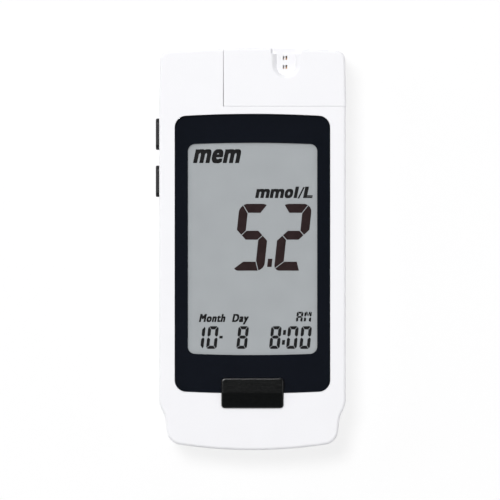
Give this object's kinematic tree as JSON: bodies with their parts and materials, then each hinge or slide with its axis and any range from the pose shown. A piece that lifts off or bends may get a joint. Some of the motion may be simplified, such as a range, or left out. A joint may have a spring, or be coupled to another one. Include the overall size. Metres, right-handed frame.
{
  "type": "blood glucose meter",
  "caption": "Hand-held blood glucose meter with a framed display, a front button, side buttons, a pull-off strip head and a battery door.",
  "frame": {"origin": "middle of the flat back face, on the case's centre line, halfway between its ends", "axes": "+Z out of the display, +Y towards the test-strip end, +X to the right seen from the front"},
  "size_m": [0.0461, 0.0971, 0.0169],
  "materials": {
    "case_white": "smooth white moulded plastic with a soft gloss",
    "button_black": "fine-grained black plastic",
    "clear_pane": "clear hard-coated acrylic pane",
    "border_ink": "blue-black print behind the pane",
    "display_grey": "grey reflective liquid crystal glass",
    "reflector": "satin reflector film",
    "foam_seal": "dark foam",
    "inner_black": "black moulded plastic",
    "soft_grey": "grey elastomer",
    "board_green": "green lacquered circuit board",
    "chip_black": "moulded chip package",
    "steel": "plated steel",
    "cell_steel": "bright coin cell can",
    "buzzer_brass": "brass disc",
    "contact_copper": "copper-coloured contact metal"
  },
  "bodies": {
    "body": {"front_case": "case_white", "back_case": "case_white", "display_lens": "clear_pane", "lens_mask": "border_ink", "dust_seal": "foam_seal", "display_cover": "display_grey", "lcd_front_glass": "display_grey", "lcd_rear_glass": "display_grey", "lcd_reflector": "reflector", "lcd_frame": "inner_black", "zebra_connector": "soft_grey", "main_board": "board_green", "main_switch": "chip_black", "side_switch_upper": "chip_black", "side_switch_lower": "chip_black", "strip_connector": "inner_black", "strip_contact_left": "contact_copper", "strip_contact_middle": "contact_copper", "strip_contact_right": "contact_copper", "processor": "chip_black", "memory_chip": "chip_black", "crystal": "steel", "buzzer": "buzzer_brass", "coin_cell_upper": "cell_steel", "coin_cell_lower": "cell_steel", "battery_spring_positive": "steel", "battery_spring_negative": "steel", "case_screw_lower_left": "steel", "case_screw_lower_right": "steel", "case_screw_upper_left": "steel", "case_screw_upper_right": "steel"},
    "front_button": {"main_button": "button_black", "main_switch_plunger": "soft_grey"},
    "upper_button": {"side_button_upper": "button_black", "side_plunger_upper": "soft_grey"},
    "lower_button": {"side_button_lower": "button_black", "side_plunger_lower": "soft_grey"},
    "head": {"strip_head": "case_white"},
    "door": {"battery_door": "case_white", "battery_link": "steel"}
  },
  "joints": [
    {"name": "main_button_press", "type": "slide", "parent": "body", "child": "front_button", "axis": [0, 0, -1], "range_m": [0, 0.0006], "stiffness_N_per_m": 600, "springref_m": -0.001},
    {"name": "side_button_upper_press", "type": "slide", "parent": "body", "child": "upper_button", "axis": [1, 0, 0], "range_m": [0, 0.0005], "stiffness_N_per_m": 600, "springref_m": -0.001},
    {"name": "side_button_lower_press", "type": "slide", "parent": "body", "child": "lower_button", "axis": [1, 0, 0], "range_m": [0, 0.0005], "stiffness_N_per_m": 600, "springref_m": -0.001},
    {"name": "strip_head_pull", "type": "slide", "parent": "body", "child": "head", "axis": [0, 1, 0], "range_m": [0, 0.016]},
    {"name": "battery_door_slide", "type": "slide", "parent": "body", "child": "door", "axis": [0, -1, 0], "range_m": [0, 0.048]}
  ]
}
